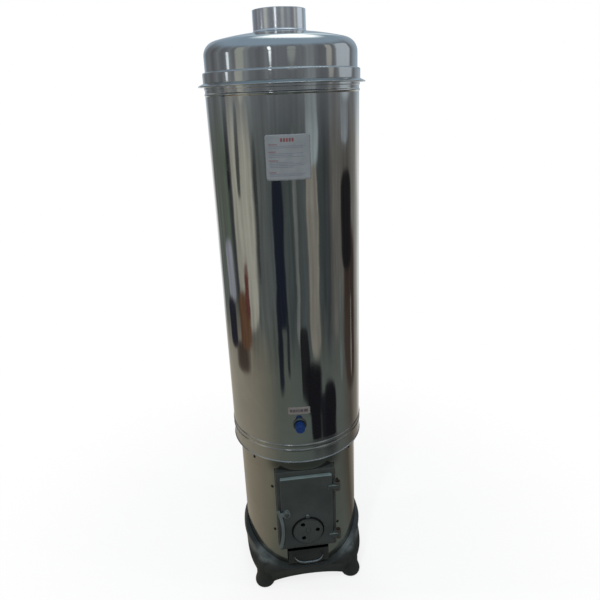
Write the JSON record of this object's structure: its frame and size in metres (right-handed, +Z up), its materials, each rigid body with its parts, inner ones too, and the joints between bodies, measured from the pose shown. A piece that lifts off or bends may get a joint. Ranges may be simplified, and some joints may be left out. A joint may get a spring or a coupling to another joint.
{
  "type": "wood-fired water boiler",
  "caption": "Floor-standing wood-fired bath water heater: cast base and firebox with hinged door and ash drawer, jacketed tank, domed lid and flue spigot.",
  "frame": {"origin": "on the floor, under the axis of the flue", "axes": "+Z up along the flue, -Y out of the fire door, +X to the right of a person who faces the door"},
  "size_m": [0.4099, 0.4349, 1.6199],
  "materials": {
    "base_iron": "dark grey heat-resistant paint on a sand-cast surface, semi-gloss",
    "door_iron": "dark grey heat-resistant paint on a smooth casting, semi-gloss",
    "grate_iron": "bare, matt and sooty",
    "polished_steel": "stainless steel sheet, mirror polished",
    "sheet_steel": "plain sheet steel, satin",
    "sooty_steel": "steel darkened by heat and soot, matt",
    "tank_steel": "stainless steel, mill finish",
    "pipe_steel": "stainless steel pipe, turned",
    "screw_steel": "zinc-plated steel",
    "pin_steel": "dark brown oxidised steel",
    "handle_steel": "round rod, satin",
    "mineral_wool": "loose mineral wool",
    "blue_plastic": "moulded, glossy"
  },
  "bodies": {
    "boiler": {"base_casting": "base_iron", "ash_floor": "sheet_steel", "drawer_runners": "sheet_steel", "firebox_casing": "polished_steel", "frame_screws": "screw_steel", "casing_screws": "screw_steel", "drum_spacers": "sheet_steel", "firebox_drum": "sooty_steel", "grate_carrier": "sooty_steel", "carrier_legs": "sooty_steel", "grate": "grate_iron", "door_frame": "door_iron", "door_throat": "sooty_steel", "ash_throat": "sooty_steel", "hinge_pins": "pin_steel", "deck_ring": "sheet_steel", "outer_jacket": "polished_steel", "tank_shell": "tank_steel", "tank_bottom": "tank_steel", "tank_top": "tank_steel", "flue_tube": "tank_steel", "insulation": "mineral_wool", "top_rim": "polished_steel", "lid": "polished_steel", "flue_spigot": "polished_steel", "drain_pipe": "pipe_steel", "drain_ring": "polished_steel", "cold_inlet_pipe": "pipe_steel", "cold_inlet_ring": "polished_steel", "hot_outlet_pipe": "pipe_steel", "hot_outlet_ring": "polished_steel"},
    "door": {"fire_door": "door_iron", "door_baffle": "sooty_steel", "baffle_bolts": "screw_steel", "rosette_rivet": "pin_steel"},
    "rosette": {"air_rosette": "door_iron"},
    "latch": {"latch_handle": "door_iron", "latch_spindle": "pin_steel", "latch_cam": "pin_steel"},
    "ash_drawer": {"ash_pan": "sheet_steel", "ash_drawer_front": "door_iron", "ash_drawer_handle": "handle_steel", "handle_nuts": "screw_steel"},
    "cap": {"drain_cap": "blue_plastic"}
  },
  "joints": [
    {"name": "door_hinge", "type": "hinge", "parent": "boiler", "child": "door", "pos_m": [0.091, -0.18215, 0.291], "axis": [0, 0, 1], "range_deg": [0, 150]},
    {"name": "rosette_turn", "type": "hinge", "parent": "door", "child": "rosette", "pos_m": [0, -0.1895, 0.234], "axis": [0, -1, 0], "range_deg": [0, 60]},
    {"name": "latch_turn", "type": "hinge", "parent": "door", "child": "latch", "pos_m": [-0.06, -0.19, 0.303], "axis": [0, 1, 0], "range_deg": [0, 80]},
    {"name": "ash_drawer_slide", "type": "slide", "parent": "boiler", "child": "ash_drawer", "axis": [0, -1, 0], "range_m": [0, 0.2]},
    {"name": "drain_cap_pull", "type": "slide", "parent": "boiler", "child": "cap", "axis": [-0.0593, -0.9982, 0], "range_m": [0, 0.03]}
  ]
}
